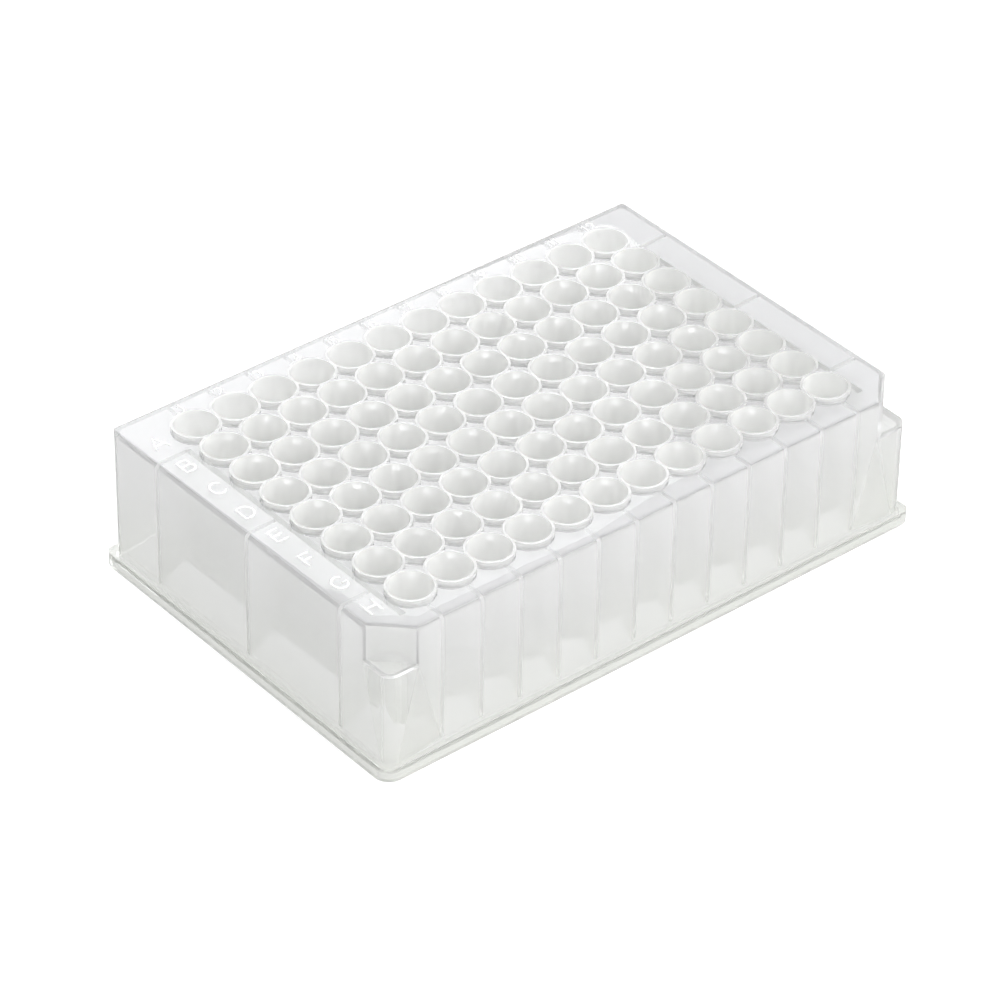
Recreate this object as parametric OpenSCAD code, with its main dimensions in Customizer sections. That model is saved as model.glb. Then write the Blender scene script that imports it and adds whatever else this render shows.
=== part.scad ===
// Deep well plate: 96 round wells hang from one deck inside a skirt on a standard footprint.
// Millimetres, +Z up, foot on z = 0, centred on x and y. Column 1 is at -X and row A at +Y.

/* [Foot] */

// Length of the foot, along a row of wells
base_length = 127.76; // [124:0.01:140]
// Width of the foot, along a column of wells
base_width = 85.48; // [82.5:0.01:100]
// Corner radius of the foot
base_radius = 3.18; // [2.6:0.01:5]
// Height of the foot band
foot_height = 2.5; // [2:0.1:4]
// Thickness of the foot band's wall
foot_wall = 1.3; // [1:0.05:1.5]
// Thickness of the ledge that joins the foot to the skirt
foot_ledge = 1.2; // [0.8:0.1:1.6]
// Bevel along the top edge of the foot
foot_bevel = 0.4; // [0.1:0.1:0.8]

/* [Skirt and deck] */

// Overall height, from the foot to the well rims
plate_height = 31.2; // [24:0.1:44]
// How far the skirt stands in from the foot
skirt_inset = 1.55; // [1.5:0.05:2.2]
// Thickness of the skirt wall
skirt_wall = 1.2; // [0.8:0.1:1.6]
// Corner radius of the skirt
skirt_radius = 2.5; // [2.2:0.1:5]
// Thickness of the deck between the wells
deck_thickness = 1.2; // [0.8:0.1:2]
// Rounding of the edge where the deck meets the skirt
deck_round = 1; // [0.4:0.1:1.5]

/* [Corner notches] */

// Length of each notch along a wall
notch_leg = 7; // [4:0.1:8]
// Depth of each notch below the deck
notch_depth = 8; // [4:0.1:14]
// Thickness of the shelf under each notch
shelf_thickness = 1.2; // [0.8:0.1:2]

/* [Wells] */

// Wells in a row
columns = 12; // [4:1:12]
// Wells in a column
rows = 8; // [4:1:8]
// Distance between well centres
pitch = 9; // [8.9:0.01:9.1]
// Inside diameter of a well
well_diameter = 8.5; // [8.3:0.05:8.6]
// Radius of the round bottom inside a well
bottom_radius = 4.4; // [4.4:0.1:5]
// How far the rims stand above the deck
rim_height = 0.8; // [0.4:0.1:2]
// Thickness of a well wall
tube_wall = 0.5; // [0.4:0.05:0.6]
// Width of the outside of each round bottom, where it meets the well walls
cup_diameter = 8.8; // [8.7:0.01:8.86]
// Height of the round bottoms above the table
cup_height = 3; // [2.6:0.1:5]
// Thickness of the floor of a well
floor_thickness = 0.8; // [0.6:0.1:1.2]

/* [Walls and ribs] */

// Thickness of the two end walls beside the wells
end_wall = 1.2; // [0.8:0.1:2]
// Height of the end walls' lower edges above the table
end_wall_height = 5.8; // [4:0.1:12]
// Thickness of the ribs
rib_thickness = 0.8; // [0.6:0.1:1.4]
// Height of the ribs' lower ends on the skirt
rib_height = 2.6; // [2.6:0.1:8]

/* [Hidden] */

$fn = 32;
overlap = 0.3;       // how far a wall or rib runs into what carries it
over = 1;            // how far a cutter runs past the material
corner_steps = 6;    // straight runs in a quarter turn of an outline
round_steps = 4;     // straight runs in a quarter turn of a section
skirt_length = base_length - 2 * skirt_inset;
skirt_width = base_width - 2 * skirt_inset;
inner_length = skirt_length - 2 * skirt_wall;
inner_width = skirt_width - 2 * skirt_wall;
inner_radius = skirt_radius - skirt_wall;
deck_top = plate_height - rim_height;
deck_underside = deck_top - deck_thickness;
shelf_top = deck_top - notch_depth;
last_column = (columns - 1) / 2 * pitch;
last_row = (rows - 1) / 2 * pitch;
well_radius = well_diameter / 2;
tube_radius = well_radius + tube_wall;
cup_radius = cup_diameter / 2;
dome_radius = bottom_radius + cup_radius - well_radius;
cup_top = cup_height + dome_radius - sqrt(pow(dome_radius, 2) - pow(cup_radius, 2));
well_floor = cup_height + floor_thickness;
field_x = last_column + tube_radius;
field_y = last_row + tube_radius;
end_rib_y = (rows / 2 - 1) * pitch;   // the outer end ribs stand between the last two rows

// points along an arc of n straight runs
function arc(x, y, r, from, to, n) =
    [for (i = [0:n]) let (a = from + (to - from) * i / n) [x + r * cos(a), y + r * sin(a)]];

// a rectangle with rounded corners
function rounded(l, w, r) = concat(
    arc(l / 2 - r, w / 2 - r, r, 0, 90, corner_steps),
    arc(r - l / 2, w / 2 - r, r, 90, 180, corner_steps),
    arc(r - l / 2, r - w / 2, r, 180, 270, corner_steps),
    arc(l / 2 - r, r - w / 2, r, 270, 360, corner_steps));

// the section of a block whose two top edges are rounded, in n straight runs each
function crowned(w, h, r, n) = concat(
    [[-w / 2, 0], [w / 2, 0]],
    arc(w / 2 - r, h - r, r, 0, 90, n),
    arc(r - w / 2, h - r, r, 90, 180, n));

// a block with rounded upright corners and a rounded or bevelled top edge
module crowned_block(l, w, h, corner, edge, n) {
    intersection() {
        linear_extrude(h + over) polygon(rounded(l, w, corner));
        rotate([90, 0, 0])
            linear_extrude(w + 2 * over, center = true) polygon(crowned(l, h, edge, n));
        rotate([90, 0, 90])
            linear_extrude(l + 2 * over, center = true) polygon(crowned(w, h, edge, n));
    }
}

// puts its children at a row H corner of the skirt, with +X turned in towards the middle
module at_corner(side) {
    translate([side * skirt_length / 2, -skirt_width / 2, 0])
        rotate([0, 0, side > 0 ? 135 : 45]) children();
}

// what the notch takes off a row H corner, with the rounding of the deck's edge above it
module notch_cutter(side) {
    reach = notch_leg / sqrt(2);
    away = notch_leg;
    at_corner(side) rotate([90, 0, 0])
        linear_extrude(4 * notch_leg, center = true)
            polygon(concat(
                [[-away, shelf_top], [reach, shelf_top]],
                arc(reach + deck_round, deck_top - deck_round, deck_round, 180, 90, round_steps),
                [[reach + deck_round, deck_top + over], [-away, deck_top + over]]));
}

// material kept inside the skirt behind and under a notch
module notch_backing(side) {
    reach = notch_leg / sqrt(2) + skirt_wall;
    at_corner(side)
        translate([-notch_leg, -2 * notch_leg, shelf_top - shelf_thickness])
            cube([notch_leg + reach, 4 * notch_leg, plate_height]);
}

// the hollow under the deck, inside the skirt
module cavity() {
    difference() {
        translate([0, 0, -over])
            linear_extrude(deck_underside + over)
                polygon(rounded(inner_length, inner_width, inner_radius));
        notch_backing(-1);
        notch_backing(1);
    }
}

// the wider hollow in the foot, which fits over the deck of a plate below
module foot_recess() {
    translate([0, 0, -over])
        linear_extrude(foot_height - foot_ledge + over)
            polygon(rounded(base_length - 2 * foot_wall, base_width - 2 * foot_wall,
                base_radius - foot_wall));
}

// deck, skirt and foot
module shell() {
    difference() {
        union() {
            crowned_block(skirt_length, skirt_width, deck_top, skirt_radius, deck_round,
                round_steps);
            crowned_block(base_length, base_width, foot_height, base_radius, foot_bevel, 1);
        }
        notch_cutter(-1);
        notch_cutter(1);
        cavity();
        foot_recess();
    }
}

// puts its children at every well
module at_wells() {
    for (c = [0:columns - 1], r = [0:rows - 1])
        translate([c * pitch - last_column, last_row - r * pitch, 0]) children();
}

// the well walls, which run into one another where neighbours meet
module tubes() {
    translate([0, 0, cup_top])
        linear_extrude(plate_height - cup_top) at_wells() circle(tube_radius);
}

// the outside of one round bottom, up to where the well walls begin
module cup() {
    intersection() {
        translate([0, 0, cup_height + dome_radius]) sphere(dome_radius);
        cylinder(r = tube_radius, h = cup_top + overlap);
    }
}

// the inside of one well, a straight bore with a round bottom
module well() {
    intersection() {
        translate([0, 0, cup_height])
            cylinder(r = well_radius, h = plate_height + over - cup_height);
        translate([0, 0, well_floor + bottom_radius]) union() {
            sphere(bottom_radius);
            cylinder(r = pitch, h = plate_height);
        }
    }
}

// the flat wall along the wells at one end, from row B to row H
module end_wall_at(side) {
    inner_face = field_x - overlap;
    translate([side > 0 ? inner_face : -inner_face - end_wall, -last_row - well_radius,
        end_wall_height])
        cube([end_wall, end_rib_y + last_row + well_radius + rib_thickness / 2,
            deck_underside + overlap - end_wall_height]);
}

// an upright rib in the XZ plane, from one x to another, cut away under its inner end
module rib(from, to, inner_height) {
    rotate([90, 0, 0])
        linear_extrude(rib_thickness, center = true)
            polygon([[from, inner_height], [to, rib_height], [to, deck_underside + overlap],
                [from, deck_underside + overlap]]);
}

// ribs from the end walls to the skirt, and from every outer well of rows A and H
module ribs() {
    for (side = [0, 180], y = [-end_rib_y, 0, end_rib_y])
        translate([0, y, 0]) rotate([0, 0, side])
            rib(field_x + end_wall - 2 * overlap, inner_length / 2 + overlap, end_wall_height);
    for (side = [90, 270], c = [0:columns - 1])
        translate([c * pitch - last_column, 0, 0]) rotate([0, 0, side])
            rib(field_y - overlap, inner_width / 2 + overlap, cup_top);
}

module deep_well_plate() {
    color("WhiteSmoke") difference() {
        union() {
            shell();
            tubes();
            at_wells() cup();
            end_wall_at(-1);
            end_wall_at(1);
            ribs();
        }
        at_wells() well();
    }
}

deep_well_plate();
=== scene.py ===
import math

import bmesh
import bpy
import numpy as np
from bpy.props import FloatProperty, FloatVectorProperty
from mathutils import Matrix, Vector


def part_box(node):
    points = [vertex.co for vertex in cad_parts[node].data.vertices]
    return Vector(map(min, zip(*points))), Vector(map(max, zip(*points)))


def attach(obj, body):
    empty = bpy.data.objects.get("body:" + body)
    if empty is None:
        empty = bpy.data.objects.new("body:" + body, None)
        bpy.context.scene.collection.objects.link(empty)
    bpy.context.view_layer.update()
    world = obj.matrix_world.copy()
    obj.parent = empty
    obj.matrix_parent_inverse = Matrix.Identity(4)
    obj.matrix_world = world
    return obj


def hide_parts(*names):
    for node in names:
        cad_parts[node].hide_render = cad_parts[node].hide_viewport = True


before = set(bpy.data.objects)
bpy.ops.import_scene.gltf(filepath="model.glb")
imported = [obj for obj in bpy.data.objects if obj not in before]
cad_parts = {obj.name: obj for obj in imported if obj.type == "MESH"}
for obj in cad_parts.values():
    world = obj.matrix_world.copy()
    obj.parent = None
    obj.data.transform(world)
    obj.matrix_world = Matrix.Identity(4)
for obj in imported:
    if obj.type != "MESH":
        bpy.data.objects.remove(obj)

bl_info = {
    "name": "Deep well plate",
    "version": (1, 0, 0),
    "blender": (4, 5, 0),
    "location": "3D View > Sidebar > Well plate",
    "description": "A polypropylene plate of 96 deep wells, its moulded marks and a plain studio",
    "category": "Object",
}

NODE = "deep_well_plate"
BODY = "root"
MM = 0.001
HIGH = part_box(NODE)[1]
COLUMNS, ROWS, PITCH = 12, 8, 9.0
ROW_LETTERS = "ABCDEFGH"

# Heights and distances from the plate's middle, in millimetres, that part its finishes, some of
# whose colours are painted shade
RIM_TOP = HIGH[2] / MM
RIM_HEIGHT = 0.8
DECK_TOP = RIM_TOP - RIM_HEIGHT
RIM_FOOT, DECK_FOOT, DECK_UNDERSIDE = DECK_TOP + 0.05, DECK_TOP - 0.2, DECK_TOP - 1.3
BORE_REACH, BORE_FOOT = 4.4, 3.6
END_WALL_INNER, END_WALL_OUTER = 53.9, 55.3
FIELD_EDGE = 36.2
SKIRT_X, SKIRT_Y, NOTCH_SUM = 61.7, 40.6, 95.7
RIB_END_X, RIB_END_Y, RIB_HALF, END_RIB_STEP = 61.0, 39.9, 0.5, 27.0

# Marks, in millimetres but for the gap between glyphs, which is a share of their height
LETTER_SHIFT, NUMBER_SHIFT = 0.2, 1.2
GLYPH_GAP, FULL_STROKE_HEIGHT, MARK_SINK = 0.3, 3.2, 0.02

# Fine detail of the plastic: features to a metre, and depth in metres
CLOUDS, GRAIN, MARK_GRAIN, PAPER_FIBRE = 70.0, 2500.0, 5000.0, 900.0
GRAIN_DEPTH = 0.00002
# Height in metres over which the painted shade at the skirt's foot fades out upwards
FOOT_SHADE_HEIGHT = 0.03
PLASTIC_IOR = 1.49

# The stage, in metres. Each lamp has its name, place, size and colour
FLOOR_HALF, FLOOR_DROP = 4.0, 0.00002
LAMPS = (
    ("key_lamp", (0.5, -0.9, 1.3), (0.8, 0.8), (1, 0.99, 0.97)),
    ("back_lamp", (0.5, 1.2, 1.0), (1.0, 0.6), (0.97, 0.98, 1)))
SENSOR_WIDTH = 36.0
LIGHT_BOUNCES = 28      # clear walls behind one another need many


# ---------------------------------------------------------------- sizes and colours

class PlateSizes(bpy.types.PropertyGroup):
    """Sizes of the plate's finer pieces"""
    smooth_angle: FloatProperty(
        name="Smooth angle", description="Edges flatter than this are shaded as one round face",
        default=math.radians(32), subtype="ANGLE")
    letter_height: FloatProperty(
        name="Letter height", description="Height of a row letter", unit="LENGTH", precision=5,
        default=0.0034)
    letter_x: FloatProperty(
        name="Letter place", description="Distance of the letters' middle from the plate's middle",
        unit="LENGTH", precision=5, default=-0.0581)
    number_height: FloatProperty(
        name="Number height", description="Height of a column number", unit="LENGTH", precision=5,
        default=0.0023)
    number_y: FloatProperty(
        name="Number place", description="Distance of the numbers' middle from the plate's middle",
        unit="LENGTH", precision=5, default=0.038)
    stroke_width: FloatProperty(
        name="Stroke width", description="Width of a raised stroke", unit="LENGTH", precision=5,
        default=0.00042)
    stroke_height: FloatProperty(
        name="Stroke height", description="How far a stroke stands above the deck", unit="LENGTH",
        precision=5, default=0.00016)


class PlateFinish(bpy.types.PropertyGroup):
    """Colour and finish of the plastic, with painted shade in some colours and a painted highlight
    on the raised marks
    """
    skin_colour: FloatVectorProperty(
        name="Skirt and foot", description="Colour of the plastic at the outside", size=3,
        subtype="COLOR", min=0, max=1, default=(0.975, 0.976, 0.98))
    # Painted shade: the skirt turns darker and greener towards its foot
    foot_shade_colour: FloatVectorProperty(
        name="Skirt low down", description="Colour of the outside near the foot", size=3,
        subtype="COLOR", min=0, max=1, default=(0.93, 0.94, 0.91))
    inner_colour: FloatVectorProperty(
        name="Inside", description="Colour of the ribs and the outsides of the wells", size=3,
        subtype="COLOR", min=0, max=1, default=(1.0, 1.0, 1.0))
    well_colour: FloatVectorProperty(
        name="Wells", description="Colour of the inside of the wells", size=3, subtype="COLOR",
        min=0, max=1, default=(0.9987, 1.0, 0.995))
    # Painted shade: the deck's upper side is darker than the rest of the same plastic, to offset
    # the light from overhead
    deck_shade_colour: FloatVectorProperty(
        name="Deck", description="Colour of the deck's upper side", size=3, subtype="COLOR",
        min=0, max=1, default=(0.83, 0.832, 0.846))
    rim_colour: FloatVectorProperty(
        name="Rims", description="Colour of the rims of the wells", size=3, subtype="COLOR",
        min=0, max=1, default=(0.97, 0.97, 0.97))
    # Painted shade: the end walls are darker than the plastic round them, which darkens the ends of
    # the skirt seen through it
    end_wall_shade_colour: FloatVectorProperty(
        name="End walls", description="Colour of the flat walls at the ends of the rows", size=3,
        subtype="COLOR", min=0, max=1, default=(0.95, 0.955, 0.94))
    # Painted highlight: the raised marks are opaque white, so that they stand out bright on the
    # clear deck
    mark_highlight_colour: FloatVectorProperty(
        name="Raised marks", description="Colour of the raised letters and numbers", size=3,
        subtype="COLOR", min=0, max=1, default=(1.0, 1.0, 1.0))
    roughness: FloatProperty(
        name="Roughness", description="Roughness of the moulded walls", subtype="FACTOR",
        min=0, max=1, default=0.02)
    skin_clarity: FloatProperty(
        name="Clarity outside", description="Share of light that goes straight through the skirt",
        subtype="FACTOR", min=0, max=1, default=0.76)
    inner_clarity: FloatProperty(
        name="Clarity inside", description="Share of light that goes straight through the outside "
        "of a well", subtype="FACTOR", min=0, max=1, default=0.72)
    well_clarity: FloatProperty(
        name="Clarity of the wells", description="Share of light that goes straight through the "
        "inside of a well", subtype="FACTOR", min=0, max=1, default=0.35)
    rib_clarity: FloatProperty(
        name="Clarity of the ribs", description="Share of light that goes straight through a rib",
        subtype="FACTOR", min=0, max=1, default=0.1)
    deck_clarity: FloatProperty(
        name="Clarity of the deck", description="Share of light that goes straight through the "
        "deck's upper side", subtype="FACTOR", min=0, max=1, default=0.8)
    rim_clarity: FloatProperty(
        name="Clarity of the rims", description="Share of light that goes straight through a rim",
        subtype="FACTOR", min=0, max=1, default=0.68)


class StageSettings(bpy.types.PropertyGroup):
    """Camera, floor and lamps"""
    azimuth: FloatProperty(
        name="Azimuth", description="Direction of the camera round the plate", subtype="ANGLE",
        default=math.radians(-40.09))
    elevation: FloatProperty(
        name="Elevation", description="Height angle of the camera", subtype="ANGLE",
        default=math.radians(36.117))
    roll: FloatProperty(
        name="Roll", description="Roll of the camera", subtype="ANGLE", default=math.radians(0.911))
    distance: FloatProperty(
        name="Distance", description="Camera to target", unit="LENGTH", default=0.874534)
    lens: FloatProperty(
        name="Lens", description="Focal length in millimetres on a 36 mm sensor", unit="CAMERA",
        default=174.99)
    target: FloatVectorProperty(
        name="Target", description="Point that the camera looks at", size=3, subtype="TRANSLATION",
        default=(-0.020975, -0.021667, 0.03115))
    floor_colour: FloatVectorProperty(
        name="Floor", description="Colour of the floor", size=3, subtype="COLOR", min=0, max=1,
        default=(0.9, 0.9, 0.9))
    floor_lift: FloatProperty(
        name="Floor lift", description="Extra white on the floor as the camera sees it",
        subtype="FACTOR", min=0, max=1, default=0.25)
    floor_through: FloatProperty(
        name="Floor through plastic", subtype="FACTOR", min=0, max=1, default=0.75,
        description="White of the floor as it shows through the plate")
    sky: FloatProperty(
        name="Surround", description="Light of the white room", subtype="FACTOR", min=0, max=2,
        default=1.04)
    sky_lean: FloatVectorProperty(
        name="Surround lean", size=3, subtype="XYZ", default=(0.48, -0.3, 0.22),
        description="How much brighter the room is towards +X, +Y and overhead")
    lamp_power: FloatProperty(
        name="Lamp power", description="Power of each lamp", unit="POWER", min=0, default=4.0)


# ---------------------------------------------------------------- shader graph

class Value:
    """A node socket that adds Math nodes when it is used in an expression."""

    def __init__(self, graph, socket):
        self.graph, self.socket = graph, socket

    def __add__(self, other):
        return self.graph.math("ADD", self, other)

    def __sub__(self, other):
        return self.graph.math("SUBTRACT", self, other)

    def __rsub__(self, other):
        return self.graph.math("SUBTRACT", other, self)

    def __mul__(self, other):
        return self.graph.math("MULTIPLY", self, other)

    __radd__, __rmul__ = __add__, __mul__


class Graph:
    """The nodes of one material or world."""

    def __init__(self, owner):
        owner.use_nodes = True
        self.tree = owner.node_tree
        self.tree.nodes.clear()

    def node(self, kind, settings=None, inputs=None):
        """Adds a node, makes its settings, then sets or links its inputs."""
        made = self.tree.nodes.new(kind)
        for name, value in (settings or {}).items():
            setattr(made, name, value)
        for name, value in (inputs or {}).items():
            socket = made.inputs[name]
            if isinstance(value, Value):
                self.tree.links.new(value.socket, socket)
            else:
                socket.default_value = value
        return made

    def out(self, made, name=0):
        return Value(self, made.outputs[name])

    def math(self, operation, a, b, clamp=False):
        return self.out(self.node("ShaderNodeMath", {"operation": operation, "use_clamp": clamp},
                                  {0: a, 1: b}))

    def step(self, value, low, high):
        """0 below low, 1 above high, smooth between."""
        return self.out(self.node("ShaderNodeMapRange", {"interpolation_type": "SMOOTHSTEP"},
                                  {"Value": value, "From Min": low, "From Max": high}))

    def mix(self, factor, a, b):
        made = self.node("ShaderNodeMix", {"data_type": "RGBA"}, {0: factor, 6: a, 7: b})
        return self.out(made, 2)

    def noise(self, vector, scale, detail=2.0):
        return self.out(self.node("ShaderNodeTexNoise", None, {
            "Vector": vector, "Scale": scale, "Detail": detail}))

    def place(self):
        """Object coordinates, in metres."""
        return self.out(self.node("ShaderNodeTexCoord"), "Object")

    def axes(self, vector):
        made = self.node("ShaderNodeSeparateXYZ", None, {"Vector": vector})
        return [self.out(made, i) for i in range(3)]

    def bump(self, height, strength, distance):
        return self.out(self.node("ShaderNodeBump", None, {
            "Height": height, "Strength": strength, "Distance": distance}))


def rgba(colour):
    return (*colour, 1.0)


def polypropylene(name, colour, clarity, finish, foot_shade_colour=None):
    """Natural, translucent plastic: a little clouded, and turning towards the foot to the colour
    given for it, as painted shade.

    clarity is the share of light that goes straight through. The rest is scattered.
    """
    material = bpy.data.materials.new(name)
    g = Graph(material)
    coords = g.place()
    height = g.axes(coords)[2]
    cloud = g.noise(coords, CLOUDS, 3.0)
    grain = g.noise(coords, GRAIN)
    # painted shade: the mask that darkens the plastic towards the foot, mottled by the clouds
    low = g.math("MULTIPLY", 1 - g.step(height, 0.0, FOOT_SHADE_HEIGHT), 0.8 + cloud * 0.4, True)
    shader = g.node("ShaderNodeBsdfPrincipled", None, {
        "Base Color": g.mix(low, rgba(colour), rgba(colour if foot_shade_colour is None else foot_shade_colour)),
        "Roughness": finish.roughness + cloud * 0.02, "IOR": PLASTIC_IOR,
        "Normal": g.bump(grain, 0.1, GRAIN_DEPTH), "Transmission Weight": clarity})
    g.node("ShaderNodeOutputMaterial", None, {"Surface": g.out(shader)})
    return material


def mark_plastic(finish):
    """The plastic of the thin raised beads, made opaque white where the plate is clear: a painted
    highlight, made only once.
    """
    name = "raised_mark_painted_highlight"
    if name in bpy.data.materials:
        return bpy.data.materials[name]
    material = bpy.data.materials.new(name)
    g = Graph(material)
    grain = g.noise(g.place(), MARK_GRAIN)
    shade = rgba([c * 0.97 for c in finish.mark_highlight_colour])
    # opaque, without the plate's clarity: the whiteness is a painted highlight
    shader = g.node("ShaderNodeBsdfPrincipled", None, {
        "Base Color": g.mix(grain, rgba(finish.mark_highlight_colour), shade),
        "Roughness": 0.35 + grain * 0.1, "IOR": PLASTIC_IOR,
        "Normal": g.bump(grain, 0.2, GRAIN_DEPTH)})
    g.node("ShaderNodeOutputMaterial", None, {"Surface": g.out(shader)})
    return material


# ---------------------------------------------------------------- meshes

def finish_piece(piece, *materials):
    """Gives a finished piece its materials and puts it on the plate's body."""
    piece.data.materials.clear()
    for material in materials:
        piece.data.materials.append(material)
    if piece.name not in bpy.context.scene.collection.objects:
        bpy.context.scene.collection.objects.link(piece)
    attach(piece, BODY)


def mesh_object(name, points, faces):
    """A new object from an array of points in millimetres and a list of faces."""
    mesh = bpy.data.meshes.new(name)
    mesh.from_pydata((np.asarray(points) * MM).tolist(), [], np.asarray(faces).tolist())
    mesh.update()
    mesh.polygons.foreach_set("use_smooth", np.ones(len(mesh.polygons), bool))
    return bpy.data.objects.new(name, mesh)


def welded(source, name, smooth_angle):
    """A copy of a mesh of loose triangles, merged where corners meet, smooth but for sharp edges.

    Corners are rounded to a thousandth of a millimetre, and each rounded place becomes one vertex.
    An edge is sharp where the two faces beside it turn by more than smooth_angle.
    """
    points = np.empty(len(source.vertices) * 3, np.float32)
    source.vertices.foreach_get("co", points)
    corners = np.empty(len(source.loops), np.int32)
    source.loops.foreach_get("vertex_index", corners)
    points = points.reshape(-1, 3)
    _, first, index = np.unique(np.round(points * 1e6).astype(np.int64), axis=0,
                                return_index=True, return_inverse=True)
    faces = index.reshape(-1)[corners].reshape(-1, 3)
    whole = (faces != np.roll(faces, 1, axis=1)).all(axis=1)
    mesh = bpy.data.meshes.new(name)
    mesh.from_pydata(points[first].tolist(), [], faces[whole].tolist())
    skin = bmesh.new()
    skin.from_mesh(mesh)
    for edge in skin.edges:
        edge.smooth = edge.is_manifold and edge.calc_face_angle(0) < smooth_angle
    for face in skin.faces:
        face.smooth = True
    skin.to_mesh(mesh)
    skin.free()
    return mesh


def plate_zones(x, y, z, names):
    """The number in names of the zone that each face is in, from its middle in millimetres.

    dx and dy are a middle's distances from the nearest well's centre line. The first zone that fits
    is taken, and a face that fits none is on the inside of the plate.
    """
    far_x, far_y = np.abs(x), np.abs(y)
    dx = (x + PITCH * COLUMNS / 2) % PITCH - PITCH / 2
    dy = (y + PITCH * ROWS / 2) % PITCH - PITCH / 2
    field = (far_x < PITCH * COLUMNS / 2) & (far_y < PITCH * ROWS / 2)
    below_deck = z < DECK_UNDERSIDE
    end_rib = ((far_x > END_WALL_OUTER) & (far_x < RIB_END_X)
               & (np.abs(y - END_RIB_STEP * np.round(y / END_RIB_STEP)) < RIB_HALF))
    side_rib = (far_y > FIELD_EDGE) & (far_y < RIB_END_Y) & (np.abs(dx) < RIB_HALF)
    zones = {
        "well": (np.hypot(dx, dy) < BORE_REACH) & field & (z > BORE_FOOT),
        "rim": z > RIM_FOOT,
        "deck": z > DECK_FOOT,
        "end_wall": (far_x > END_WALL_INNER) & (far_x < END_WALL_OUTER) & below_deck,
        "skirt": (far_x > SKIRT_X) | (far_y > SKIRT_Y) | ((far_x - y > NOTCH_SUM) & (y < 0)),
        "rib": (end_rib | side_rib) & below_deck,
    }
    return np.select(list(zones.values()), [names.index(zone) for zone in zones],
                     names.index("inner")).astype(np.int32)


def arc(cx, cy, rx, ry, start, end, count):
    """Points along part of an ellipse, from one angle to another in degrees."""
    a = np.radians(np.linspace(start, end, count))
    return np.column_stack([cx + rx * np.cos(a), cy + ry * np.sin(a)])


def glyph_strokes():
    """Each mark as strokes in a box 1 high, from the bottom left, as wide as its strokes."""
    def line(*points):
        return np.array(points, float)

    def joined(*parts):
        return np.vstack(parts)

    return {
        "A": [line((0, 0), (0.42, 1), (0.84, 0)), line((0.15, 0.34), (0.69, 0.34))],
        "B": [joined(line((0, 0), (0, 1), (0.38, 1)), arc(0.4, 0.76, 0.25, 0.24, 80, -80, 9),
                     line((0.38, 0.52), (0, 0.52))),
              joined(line((0.38, 0.52)), arc(0.42, 0.26, 0.28, 0.26, 80, -80, 9),
                     line((0.38, 0), (0, 0)))],
        "C": [arc(0.42, 0.5, 0.42, 0.5, 48, 312, 23)],
        "D": [joined(line((0.3, 0), (0, 0), (0, 1), (0.3, 1)),
                     arc(0.3, 0.5, 0.46, 0.5, 80, -80, 15), line((0.3, 0)))],
        "E": [line((0.66, 0), (0, 0), (0, 1), (0.66, 1)), line((0, 0.52), (0.58, 0.52))],
        "F": [line((0, 0), (0, 1), (0.64, 1)), line((0, 0.52), (0.54, 0.52))],
        "G": [joined(arc(0.42, 0.5, 0.42, 0.5, 48, 330, 23), line((0.84, 0.42), (0.5, 0.42)))],
        "H": [line((0, 0), (0, 1)), line((0.7, 0), (0.7, 1)), line((0, 0.52), (0.7, 0.52))],
        "0": [arc(0.3, 0.5, 0.3, 0.5, 90, 450, 21)],
        "1": [line((0, 0.78), (0.24, 1), (0.24, 0))],
        "2": [joined(arc(0.3, 0.7, 0.3, 0.3, 165, -40, 11), line((0, 0), (0.62, 0)))],
        "3": [joined(arc(0.28, 0.74, 0.28, 0.26, 150, -80, 9),
                     arc(0.28, 0.26, 0.32, 0.26, 80, -150, 11))],
        "4": [line((0.46, 0), (0.46, 1), (0, 0.3), (0.64, 0.3))],
        "5": [joined(line((0.56, 1), (0.1, 1), (0.04, 0.55)),
                     arc(0.26, 0.32, 0.32, 0.32, 110, -150, 12))],
        "6": [joined(line((0.5, 1)), arc(0.3, 0.32, 0.3, 0.32, 150, 510, 19))],
        "7": [line((0, 1), (0.6, 1), (0.2, 0))],
        "8": [joined(arc(0.3, 0.76, 0.25, 0.24, -90, 270, 15),
                     arc(0.3, 0.26, 0.3, 0.26, 90, -270, 17))],
        "9": [joined(line((0.1, 0)), arc(0.3, 0.68, 0.3, 0.32, -30, 330, 19))],
    }


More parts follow.
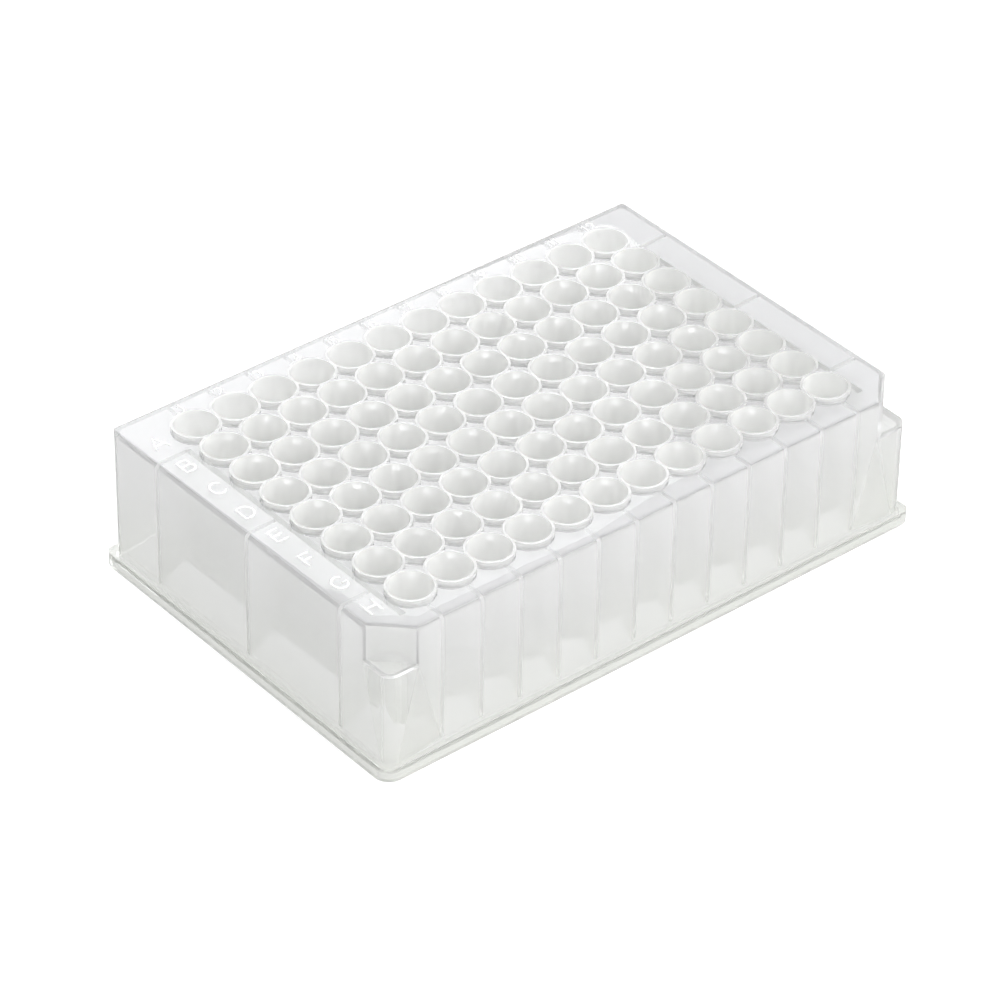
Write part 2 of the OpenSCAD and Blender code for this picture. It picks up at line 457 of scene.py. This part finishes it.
def bead(path, width, height, base):
    """A raised stroke: half a flattened circle carried along a path on the deck.

    At each point of the path the section is (width/2 * cos t, height * sin t) for t from 0 to pi,
    set square to the path's direction, and both ends close with the same section made small.
    """
    path = np.asarray(path, float)
    keep = np.r_[True, np.linalg.norm(np.diff(path, axis=0), axis=1) > 1e-6]
    path = path[keep]
    along = np.gradient(path, axis=0)
    along /= np.linalg.norm(along, axis=1)[:, None]
    closed = np.linalg.norm(path[0] - path[-1]) < 1e-6
    if closed:
        along[0] = along[-1] = (along[0] + along[-1]) / np.linalg.norm(along[0] + along[-1])
    else:
        cap = np.array([1.0, 0.7, 0.0]) * width / 2
        head = path[0] - along[0] * cap[:, None]
        tail = path[-1] + along[-1] * cap[::-1, None]
        path = np.vstack([head, path, tail])
        along = np.vstack([np.repeat(along[:1], 3, 0), along, np.repeat(along[-1:], 3, 0)])
    size = np.ones(len(path))
    if not closed:
        size[:3] = size[-3:][::-1] = (0.02, 0.7, 0.98)
    side = np.column_stack([-along[:, 1], along[:, 0]])
    t = np.linspace(0, math.pi, 7)
    across = np.outer(size * width / 2, np.cos(t))
    up = np.outer(size * height, np.sin(t))
    points = np.empty((len(path), len(t), 3))
    points[..., 0] = path[:, None, 0] + side[:, None, 0] * across
    points[..., 1] = path[:, None, 1] + side[:, None, 1] * across
    points[..., 2] = base + up
    n, m = len(path), len(t)
    i, j = np.meshgrid(np.arange(n - 1), np.arange(m), indexing="ij")
    a = i * m + j
    b = i * m + (j + 1) % m
    faces = np.stack([a, a + m, b + m, b], -1).reshape(-1, 4)
    return points.reshape(-1, 3), faces


def write_marks(name, words, sizes):
    """One object for a set of marks, each (text, middle x, middle y, height) in millimetres."""
    strokes = glyph_strokes()
    stroke_width, stroke_height = sizes.stroke_width / MM, sizes.stroke_height / MM
    points, faces, count = [], [], 0
    for text, cx, cy, height in words:
        width = [max(s[:, 0].max() for s in strokes[c]) for c in text]
        total = sum(width) + GLYPH_GAP * (len(text) - 1)
        left = -total / 2
        for c, w in zip(text, width):
            for s in strokes[c]:
                path = (s + (left, -0.5)) * height + (cx, cy)
                p, f = bead(path, stroke_width * min(1, height / FULL_STROKE_HEIGHT), stroke_height,
                            DECK_TOP - MARK_SINK)
                points.append(p)
                faces.append(f + count)
                count += len(p)
            left += w + GLYPH_GAP
    piece = mesh_object(name, np.vstack(points), np.vstack(faces))
    tidy = bmesh.new()
    tidy.from_mesh(piece.data)
    bmesh.ops.recalc_face_normals(tidy, faces=tidy.faces)
    tidy.to_mesh(piece.data)
    tidy.free()
    return piece


# ---------------------------------------------------------------- operators

class PLATE_OT_body(bpy.types.Operator):
    """Shades the moulded plate as one smooth skin"""
    bl_idname = "plate.body"
    bl_label = "Moulded plate"

    def execute(self, context):
        finish = context.scene.plate_finish
        piece = bpy.data.objects.new("plate", welded(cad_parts[NODE].data, "plate",
                                                     context.scene.plate_sizes.smooth_angle))
        # The deck, the end walls and the skirt's foot get darker colours as painted shade
        plastics = {
            "skirt": (finish.skin_colour, finish.skin_clarity, finish, finish.foot_shade_colour),
            "inner": (finish.inner_colour, finish.inner_clarity, finish),
            "well": (finish.well_colour, finish.well_clarity, finish),
            "end_wall": (finish.end_wall_shade_colour, finish.well_clarity, finish),
            "rim": (finish.rim_colour, finish.rim_clarity, finish),
            "deck": (finish.deck_shade_colour, finish.deck_clarity, finish),
            "rib": (finish.inner_colour, finish.rib_clarity, finish),
        }
        finish_piece(piece, *(polypropylene(zone + "_polypropylene", *settings)
                              for zone, settings in plastics.items()))
        faces = piece.data.polygons
        middle = np.empty(len(faces) * 3, np.float32)
        faces.foreach_get("center", middle)
        x, y, z = middle.reshape(-1, 3).T / MM
        faces.foreach_set("material_index", plate_zones(x, y, z, list(plastics)))
        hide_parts(NODE)
        return {"FINISHED"}


class PLATE_OT_letters(bpy.types.Operator):
    """Adds the raised row letters along the left end of the deck"""
    bl_idname = "plate.letters"
    bl_label = "Row letters"

    def execute(self, context):
        sizes = context.scene.plate_sizes
        middle = (ROWS - 1) / 2
        words = [(letter, sizes.letter_x / MM, PITCH * (middle - r) + LETTER_SHIFT,
                  sizes.letter_height / MM) for r, letter in enumerate(ROW_LETTERS)]
        piece = write_marks("row_letters", words, sizes)
        finish_piece(piece, mark_plastic(context.scene.plate_finish))
        return {"FINISHED"}


class PLATE_OT_numbers(bpy.types.Operator):
    """Adds the raised column numbers along the far side of the deck"""
    bl_idname = "plate.numbers"
    bl_label = "Column numbers"

    def execute(self, context):
        sizes = context.scene.plate_sizes
        middle = (COLUMNS - 1) / 2
        words = [(str(c + 1), PITCH * (c - middle) + NUMBER_SHIFT, sizes.number_y / MM,
                  sizes.number_height / MM) for c in range(COLUMNS)]
        piece = write_marks("column_numbers", words, sizes)
        finish_piece(piece, mark_plastic(context.scene.plate_finish))
        return {"FINISHED"}


def add_lamp(name, place, size, power, colour):
    """A soft lamp that points at the plate."""
    data = bpy.data.lights.new(name, "AREA")
    data.shape, data.size, data.size_y = "RECTANGLE", size[0], size[1]
    data.energy, data.color = power, colour
    lamp = bpy.data.objects.new(name, data)
    bpy.context.scene.collection.objects.link(lamp)
    lamp.location = place
    lamp.rotation_euler = (-Vector(place)).to_track_quat("-Z", "Y").to_euler()


class PLATE_OT_stage(bpy.types.Operator):
    """Sets up the white floor, the soft room light, the lamps and the camera"""
    bl_idname = "plate.stage"
    bl_label = "Stage"

    def execute(self, context):
        scene, stage = context.scene, context.scene.plate_stage
        self.floor(stage)
        self.world(scene, stage)
        for name, place, size, colour in LAMPS:
            add_lamp(name, place, size, stage.lamp_power, colour)
        self.camera(scene, stage)
        scene.view_settings.view_transform = "Standard"
        for limit in ("max_bounces", "transmission_bounces", "glossy_bounces", "diffuse_bounces",
                      "transparent_max_bounces"):
            setattr(scene.cycles, limit, LIGHT_BOUNCES)
        scene.cycles.blur_glossy = 0.0
        return {"FINISHED"}

    def seen_through(self, g, rays):
        """1 for a ray that came off or through the plastic."""
        return g.math("MAXIMUM", g.out(rays, "Is Glossy Ray"), g.out(rays, "Is Transmission Ray"))

    def floor(self, stage):
        mesh = bpy.data.meshes.new("floor")
        corners = [(-1, -1), (1, -1), (1, 1), (-1, 1)]
        mesh.from_pydata([(x * FLOOR_HALF, y * FLOOR_HALF, -FLOOR_DROP) for x, y in corners], [],
                         [(0, 1, 2, 3)])
        floor = bpy.data.objects.new("floor", mesh)
        bpy.context.scene.collection.objects.link(floor)
        material = bpy.data.materials.new("floor_paper")
        g = Graph(material)
        rays = g.node("ShaderNodeLightPath")
        fibre = g.noise(g.place(), PAPER_FIBRE)
        shade = rgba([c * 0.99 for c in stage.floor_colour])
        lift = g.mix(g.out(rays, "Is Camera Ray"), (0, 0, 0, 1), rgba([stage.floor_lift] * 3))
        paper = g.node("ShaderNodeBsdfPrincipled", None, {
            "Base Color": g.mix(fibre, rgba(stage.floor_colour), shade), "Roughness": 0.9,
            "Specular IOR Level": 0.1, "Emission Strength": 1.0, "Emission Color": lift})
        white = g.node("ShaderNodeEmission", None, {"Color": rgba([stage.floor_through] * 3)})
        through = self.seen_through(g, rays)
        both = g.node("ShaderNodeMixShader", None, {0: through, 1: g.out(paper), 2: g.out(white)})
        g.node("ShaderNodeOutputMaterial", None, {"Surface": g.out(both)})
        mesh.materials.append(material)

    def world(self, scene, stage):
        world = bpy.data.worlds.new("white_room")
        scene.world = world
        g = Graph(world)
        rays = g.node("ShaderNodeLightPath")
        seen = g.math("MAXIMUM", g.out(rays, "Is Camera Ray"), self.seen_through(g, rays))
        east, north, up = g.axes(g.out(g.node("ShaderNodeTexCoord"), "Generated"))
        lean = stage.sky_lean
        level = stage.sky * (1 + east * lean[0] + north * lean[1] + up * lean[2])
        strength = level + seen * (1 - level)
        shader = g.node("ShaderNodeBackground", None, {"Color": (1, 1, 1, 1), "Strength": strength})
        g.node("ShaderNodeOutputWorld", None, {"Surface": g.out(shader)})

    def camera(self, scene, stage):
        ce, se = math.cos(stage.elevation), math.sin(stage.elevation)
        back = Vector((math.sin(stage.azimuth) * ce, -math.cos(stage.azimuth) * ce, se))
        right = (-back).cross(Vector((0, 0, 1))).normalized()
        up = right.cross(-back)
        c, s = math.cos(stage.roll), math.sin(stage.roll)
        axis_x, axis_y = right * c + up * s, up * c - right * s
        data = bpy.data.cameras.new("camera")
        data.sensor_width, data.lens = SENSOR_WIDTH, stage.lens
        data.clip_start, data.clip_end = 0.05, 20.0
        camera = bpy.data.objects.new("camera", data)
        scene.collection.objects.link(camera)
        turn = Matrix((axis_x, axis_y, back)).transposed().to_4x4()
        place = Vector(stage.target) + back * stage.distance
        camera.matrix_world = Matrix.Translation(place) @ turn
        scene.camera = camera


class PLATE_PT_panel(bpy.types.Panel):
    """The plate's sizes, finish and stage"""
    bl_idname = "PLATE_PT_panel"
    bl_label = "Deep well plate"
    bl_space_type = "VIEW_3D"
    bl_region_type = "UI"
    bl_category = "Well plate"

    def draw(self, context):
        for attribute in GROUPS:
            group = getattr(context.scene, attribute)
            box = self.layout.box()
            for name in group.__annotations__:
                box.prop(group, name)
        for operator in OPERATORS:
            self.layout.operator(operator.bl_idname)


GROUPS = {"plate_sizes": PlateSizes, "plate_finish": PlateFinish, "plate_stage": StageSettings}
OPERATORS = (PLATE_OT_body, PLATE_OT_letters, PLATE_OT_numbers, PLATE_OT_stage)


def register():
    for cls in (*GROUPS.values(), *OPERATORS, PLATE_PT_panel):
        bpy.utils.register_class(cls)
    for name, group in GROUPS.items():
        setattr(bpy.types.Scene, name, bpy.props.PointerProperty(type=group))


def unregister():
    for name in GROUPS:
        delattr(bpy.types.Scene, name)
    for cls in (PLATE_PT_panel, *reversed(OPERATORS), *reversed(GROUPS.values())):
        bpy.utils.unregister_class(cls)


def main():
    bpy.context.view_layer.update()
    register()
    bpy.ops.plate.body()
    bpy.ops.plate.letters()
    bpy.ops.plate.numbers()
    bpy.ops.plate.stage()


if __name__ == "__main__":
    main()
